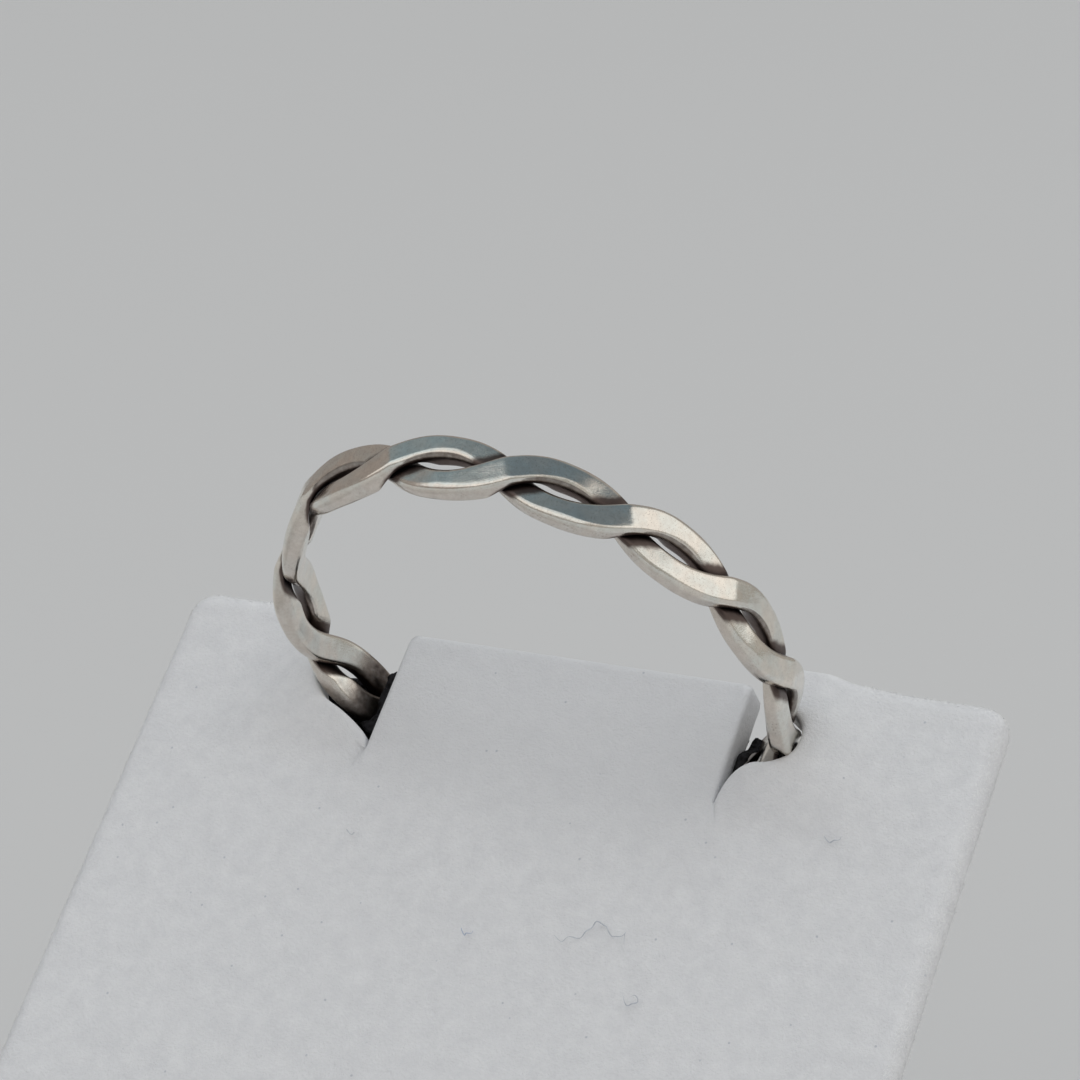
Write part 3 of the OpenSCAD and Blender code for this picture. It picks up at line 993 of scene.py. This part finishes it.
def makeFloor():
    material, tree, place = newMaterial("mattBackgroundPaper")
    grain = addNode(tree, "TexNoise", {
        "Vector": place, "Scale": perMetre(floor["grain"])}).outputs["Fac"]
    bump = addNode(tree, "Bump", {
        "Height": grain, "Distance": floor["grainDepth"] * mm, "Strength": 0.3}).outputs[0]
    setSurface(tree, {
        "Base Color": linear(floor["tone"]), "Roughness": 0.85, "Specular IOR Level": 0.1, "Normal": bump})
    points, faces = [(0, 0, 0)], []
    rings, spokes = floor["rings"], floor["spokes"]
    for i in range(1, rings + 1):
        reach = floor["radius"] * (i / rings) ** 2
        for j in range(spokes):
            turn = 2 * math.pi * j / spokes
            points.append((reach * math.cos(turn), reach * math.sin(turn), 0))
    for j in range(spokes):
        following = (j + 1) % spokes
        faces.append([0, 1 + j, 1 + following])
        for i in range(1, rings):
            inner, outer = 1 + (i - 1) * spokes, 1 + i * spokes
            faces.append([inner + j, outer + j, outer + following, inner + following])
    return makePiece("floor", points, faces, material)


def makeSoftbox(name, direction, distance, width, height, radiance, tone, shows):
    data = bpy.data.lights.new(name, "AREA")
    data.shape, data.size, data.size_y = "RECTANGLE", width, height
    data.energy = radiance * 4 * width * height  # the power that gives this radiance
    data.color = linear(tone)[:3]
    lamp = bpy.data.objects.new(name, data)
    towards = Vector(direction).normalized()
    lamp.location = Vector(ringMid) * mm + towards * distance
    lamp.rotation_euler = towards.to_track_quat("Z", "Y").to_euler()
    lamp.visible_glossy = shows
    bpy.context.scene.collection.objects.link(lamp)


# studio: soft boxes in front and to the right, and a big one overhead that shows in no reflection
studio = {
    "wallLeft": "#928c88",
    "wallRight": "#a8a5a0",
    "wallFrom": (-0.6, 0.8),  # where the left wall's colour ends and the right wall's is full
    "ceilingLeft": "#7f8d94",
    "ceiling": "#6a767e",
    "ceilingFrom": (-0.5, 0.1),  # the same for the ceiling
    "ceilingStarts": (0.60, 0.72),  # height in the sky where it begins on the left, and is full
    "ceilingRises": 0.18,  # how much higher that is on the right
    # each box: direction, distance, width, height, radiance, tone, whether it shows in reflections
    "frontBox": ((-0.22, -0.68, 0.73), 1.8, 3.0, 1.9, 0.42, "#ffffff", True),
    "rightBox": ((0.837, 0.118, 0.534), 1.3, 2.2, 0.98, 0.41, "#ffffff", True),
    "topBox": ((0.05, 0.2, 1.0), 2.6, 4.8, 4.8, 0.44, "#ffffff", False),
}


def makeStudio():
    world = bpy.data.worlds.new("studio")
    bpy.context.scene.world = world
    world.use_nodes = True
    tree = world.node_tree
    tree.nodes.clear()
    towards = addNode(tree, "TexCoord").outputs["Generated"]
    split = addNode(tree, "SeparateXYZ", {0: towards})
    across = addNode(tree, "MapRange", {
        "Value": split.outputs["X"], ends: studio["wallFrom"]}).outputs["Result"]
    walls = addNode(tree, "Mix", {
        0: across, 6: linear(studio["wallLeft"]), 7: linear(studio["wallRight"])},
        data_type="RGBA").outputs[2]
    height = addNode(tree, "Math", {
        0: across, 1: -studio["ceilingRises"], 2: split.outputs["Z"]}, operation="MULTIPLY_ADD").outputs[0]
    above = addNode(tree, "MapRange", {
        "Value": height, ends: studio["ceilingStarts"]}, interpolation_type="SMOOTHSTEP").outputs["Result"]
    overhead = addNode(tree, "MapRange", {
        "Value": split.outputs["X"], ends: studio["ceilingFrom"]}).outputs["Result"]
    ceiling = addNode(tree, "Mix", {
        0: overhead, 6: linear(studio["ceilingLeft"]), 7: linear(studio["ceiling"])},
        data_type="RGBA").outputs[2]
    sky = addNode(tree, "Mix", {0: above, 6: walls, 7: ceiling}, data_type="RGBA").outputs[2]
    background = addNode(tree, "Background", {"Color": sky})
    addNode(tree, "OutputWorld", {"Surface": background.outputs[0]})
    for name in ("frontBox", "rightBox", "topBox"):
        makeSoftbox(name, *studio[name])


makeFloor()
makeStudio()
bpy.context.scene.view_settings.view_transform = "Standard"
print("studio made")
